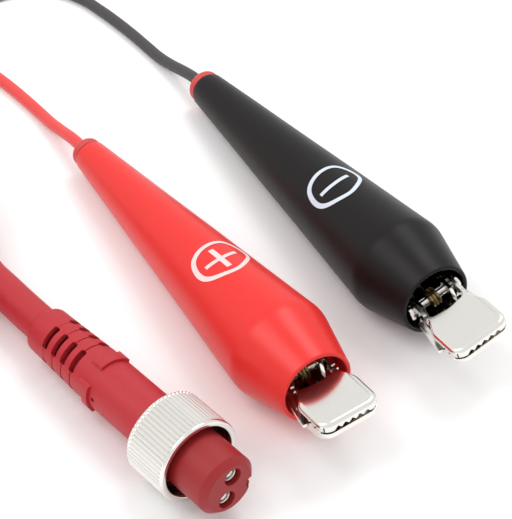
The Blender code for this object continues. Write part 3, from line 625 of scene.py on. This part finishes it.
def overmould():
    """Rubber body with four rows of four relief slots, ring grooves, two grips and a vent."""
    grooves = []
    for row in range(4):
        back = 24.4 + 2.7 * row
        for quarter in range(4):
            turn = about(33.5 + 90 * quarter)
            slot_shape = rounded([(-2.15, back - 0.7, 0.35), (2.15, back - 0.7, 0.35),
                                  (2.15, back + 0.7, 0.35), (-2.15, back + 0.7, 0.35)], 4)
            tool = prism(slot_shape, 2.2, 6.2)
            bmesh.ops.transform(tool, matrix=turn, verts=tool.verts)
            grooves.append(("DIFFERENCE", tool))
        floor_radius = 4.62 - 0.055 * row
        ring = lathe([(BODY_RADIUS + 1, back + 0.16, 0), (BODY_RADIUS + 1, back - 0.16, 0),
                      (floor_radius, back - 0.16, 0), (floor_radius, back + 0.16, 0)], 64)
        grooves.append(("DIFFERENCE", ring))
    steps = []
    for grip in (87.5, -21.5):
        wedge = prism([(18.8, 3.6), (18.8, 6.0), (19.3, 6.0), (21.5, 4.6), (21.5, 3.6)], -2.9, 2.9,
                      "side")
        shell = lathe([(5.38, 23, 0), (5.38, 17, 0), (0, 17, 0), (0, 23, 0)], 96)
        wedge = combined(wedge, [("INTERSECT", shell)])
        bmesh.ops.transform(wedge, matrix=about(grip), verts=wedge.verts)
        steps.append(("UNION", wedge))
    steps += grooves
    steps.append(("DIFFERENCE", bar(0.42, 3.9, 6, about(-10.5) @ Matrix.Translation((0, 17.7, 0)))))
    base = lathe([(3.6, 38.0, 0.2), (4.35, 38.0, 0.7), (4.4, 35.6, 0.4), (BODY_RADIUS, 23.4, 4.0),
                  (BODY_RADIUS, 3.1, 0.3), (3.6, 3.1, 0)], 96)
    piece("overmould", combined(base, steps, 0.09), CONNECTOR, CABLE, "root",
          ["connector_body"], 40)


def insert():
    """Plug face with a chamfer, two contact bores with a lead-in and the polarising groove."""
    base = lathe([(0, 2.8, 0), (5.9, 2.8, 0.2), (5.9, 1.4, 0.2), (5.4, 1.4, 0),
                  (5.4, 1.15 - NOSE, 0.12), (4.4, -NOSE, 0.12), (0, -NOSE, 0)], 96,
                 open_axis=True)
    down = Matrix.Rotation(math.radians(90), 4, "X")
    steps = [("DIFFERENCE", bar(CONTACT_BORE, -20, 20,
                                Matrix.Translation((side * CONTACT_SPACING / 2, 0, 0)) @ down))
             for side in (-1, 1)]
    key = Matrix.Translation((0, -NOSE, -4.6)) @ down
    steps.append(("DIFFERENCE", bar(1.15, -6, 6, key)))
    piece("plug_face", combined(base, steps, 0.08), CONNECTOR, INSERT_PLASTIC, "root",
          ["connector_insert"], 40)


def socket(name, side, node):
    """Tubular contact with turned rings inside its mouth."""
    corners = [(0, 9.0, 0), (0.5, 9.0, 0.15), (0.5, 4.6, 0), (1.3, 4.2, 0), (1.3, -11.5, 0.12),
               (1.0, -11.5, 0.1)]
    for ring in range(5):
        back = -11.0 + ring * 0.75
        corners += [(0.96, back, 0.05), (0.78, back + 0.2, 0.05), (0.78, back + 0.4, 0.05),
                    (0.96, back + 0.6, 0.05)]
    corners += [(0.95, -2.0, 0), (0, -1.6, 0)]
    shape = lathe(corners, 48, open_axis=True, offset=(side * CONTACT_SPACING / 2, 0))
    piece(name, shape, CONNECTOR, NICKEL, "root", [node])


NUT_RIBS, RIB_DEPTH, RIB_SHARPNESS = 60, 0.26, 2.6
THREAD_PITCH, THREAD_DEPTH = 1.0, 0.17


def nut():
    """Ribbed coupling nut with a smooth front lip and a threaded mouth."""
    def wave(angle, radius, back):
        if radius > 7.4 and -3.9 < back < 4.3:
            return -RIB_DEPTH * (0.5 - 0.5 * math.cos(NUT_RIBS * angle)) ** RIB_SHARPNESS
        if radius < 6.7 and -4.3 < back < 1.0:
            turned = angle / math.tau
            return -THREAD_DEPTH * (1 - abs(2 * ((back / THREAD_PITCH + turned) % 1) - 1))
        return 0
    shape = lathe([(5.15, 4.7, 0.2), (7.7, 4.7, 0.45), (7.7, -4.7, 0.4), (6.6, -4.7, 0.25),
                   (6.6, 3.2, 0), (5.15, 3.2, 0)], 480, wave, 0.22)
    piece("ribbed_nut", shape, CONNECTOR, NICKEL, "coupling_nut",
          ["coupling_nut"], 50)


def seal():
    """Rubber O-ring with a faint moulding line."""
    shape = lathe([(5.55, 1.1, 0.45), (6.3, 1.1, 0.45), (6.3, 0.65, 0.05), (6.34, 0.6, 0.02),
                   (6.3, 0.55, 0.05), (6.3, 0.1, 0.45), (5.55, 0.1, 0.45)], 72)
    piece("seal", shape, CONNECTOR, BLACK_PVC, "root", ["sealing_ring"])


overmould()
insert()
socket("positive_socket", 1, "positive_contact")
socket("negative_socket", -1, "negative_contact")
nut()
seal()


# ---------------------------------------------------------------- junction and tie
def rounded_block(name, size, place, yaw, bevel, material, node, ribs):
    """Moulded block with rounded edges and shallow grip ribs across its top."""
    steps = [("DIFFERENCE", brick((size[0] + 1, 0.7, 0.5), (0, (index - 2) * 1.9, size[2] / 2)))
             for index in range(ribs)]
    shape = combined(brick(size, (0, 0, 0)), steps, bevel, 4)
    turn = Matrix.Rotation(math.radians(yaw), 4, "Z")
    block_place = Matrix.Translation(Vector(place) * MM) @ turn @ Matrix.Scale(MM, 4)
    return piece(name, shape, block_place, material, "root", [node], 50)


split_block = rounded_block("split_block", (9, 14.8, 7.2), (-55.75, 81.9, 3.7), 8, 0.22,
                            CABLE, "split_junction", 5)


def strap():
    """Strap round the coil with a raised buckle."""
    outer = rounded([(-4.5, 0.1, 3.0), (4.5, 0.1, 3.0), (4.5, 18.8, 3.0), (-4.5, 18.8, 3.0)], 10)
    inner = rounded([(-3.8, 0.8, 2.4), (3.8, 0.8, 2.4), (3.8, 18.1, 2.4), (-3.8, 18.1, 2.4)], 10)
    steps = [("DIFFERENCE", prism(inner, -5, 5, "front")),
             ("UNION", brick((1.2, 6.6, 4.0), (4.3, 0, 9.5)))]
    shape = combined(prism(outer, -3, 3, "front"), steps, 0.12)
    place = Matrix.Translation(Vector((-116.4, 41.4, 0)) * MM) @ Matrix.Scale(MM, 4)
    piece("strap", shape, place, BLACK_PVC, "root", ["coil_tie"], 50)


strap()

# ---------------------------------------------------------------- cords on their routes
red_cord = cord_curve("red_tail", RED_WIRE_ROUTE, WIRE_RADIUS, RED_LEAD)
black_cord = cord_curve("black_tail", BLACK_WIRE_ROUTE, WIRE_RADIUS, BLACK_LEAD)

COIL_CENTRE = (-83.4, 41.4)
COIL_TURNS = 2
POINTS_PER_TURN = 20
WIND_START = 39.0
WIND_END = 710.0
WIND_RADII = (35.1, 29.4)
WIND_HEIGHTS = (18.2, 5.0)
LEAD_IN = [(-44.45, 1.62, 5.78), (-45.3, 8, 5.45), (-46.1, 14, 5.4), (-46.9, 20.2, 5.5),
           (-46.9, 27.2, 7.1), (-45.7, 34.6, 10.4), (-45.2, 41.6, 14.0), (-47.1, 48.9, 17.0),
           (-50.7, 55.7, 18.2)]
LEAD_OUT = [(-53.8, 45.7, 4.6), (-53.8, 55.2, 4.2), (-53.9, 64.7, 3.8), (-54.03, 69.6, 3.6),
            (-54.68, 74.2, 3.6)]


def cable_route():
    """From inside the connector, up on to the coil, down its turns and out to the junction."""
    points = [tuple(1000 * c for c in CONNECTOR @ Vector((0, 36.4, 0)))] + LEAD_IN
    count = POINTS_PER_TURN * COIL_TURNS
    for index in range(count + 1):
        share = index / count
        angle = math.radians(WIND_START + (WIND_END - WIND_START) * share)
        radius = WIND_RADII[0] + (WIND_RADII[1] - WIND_RADII[0]) * share
        height = WIND_HEIGHTS[0] + (WIND_HEIGHTS[1] - WIND_HEIGHTS[0]) * share
        points.append((COIL_CENTRE[0] + radius * math.cos(angle),
                       COIL_CENTRE[1] + radius * math.sin(angle), height))
    return points + LEAD_OUT


cable_cord = cord_curve("main_cable", cable_route(), CABLE_RADIUS, CABLE)
for made, slot_name, nodes in (
    (red_cord, "red_wire", ["red_wire"]), (black_cord, "black_wire", ["black_wire"]),
    (cable_cord, "cable_jacket",
     ["cable_run", "cable_coil", "cable_exit_run", "cable_end_in_body"]),
):
    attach(made, "root")
    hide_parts(*nodes)

SLOTS = {part["node"]: part["material_slot"] for part in frame["record"]["subparts"]}
for name, node in frame["nodes"].items():
    if node.hide_render:
        continue
    chosen = BY_SLOT[SLOTS[name]]
    if name.endswith("inner_wire"):
        chosen = RED_LEAD if name.startswith("red") else BLACK_LEAD
    if name.endswith("_core"):
        chosen = RED_LEAD if name.startswith("positive") else BLACK_LEAD
    node.data.materials.clear()
    node.data.materials.append(chosen)

# ---------------------------------------------------------------- floor and light
FLOOR = surface("pale floor", (0.93, 0.93, 0.93), 0.7, grain=0.006, scale=40)
floor_mesh = bpy.data.meshes.new("floor")
floor_mesh.from_pydata([(-3, -3, 0), (3, -3, 0), (3, 3, 0), (-3, 3, 0)], [], [(0, 1, 2, 3)])
floor_mesh.materials.append(FLOOR)
floor = bpy.data.objects.new("floor", floor_mesh)
bpy.context.scene.collection.objects.link(floor)

world = bpy.data.worlds.new("studio")
world.use_nodes = True
world.node_tree.nodes["Background"].inputs["Color"].default_value = (1.0, 1.0, 1.0, 1)
world.node_tree.nodes["Background"].inputs["Strength"].default_value = 0.90
bpy.context.scene.world = world


def softbox(name, place, size, power):
    """A rectangular soft light that faces the clips."""
    data = bpy.data.lights.new(name, "AREA")
    data.shape = "RECTANGLE"
    data.size, data.size_y = size
    data.energy = power
    made = bpy.data.objects.new(name, data)
    made.location = place
    made.rotation_mode = "QUATERNION"
    made.rotation_quaternion = (-Vector(place)).to_track_quat("-Z", "Y")
    bpy.context.scene.collection.objects.link(made)


softbox("left softbox", (-0.38, 0.12, 0.62), (0.26, 0.42), 1.5)
softbox("right softbox", (0.33, 0.18, 0.72), (0.30, 0.36), 1.8)
bpy.context.scene.view_settings.view_transform = "Standard"
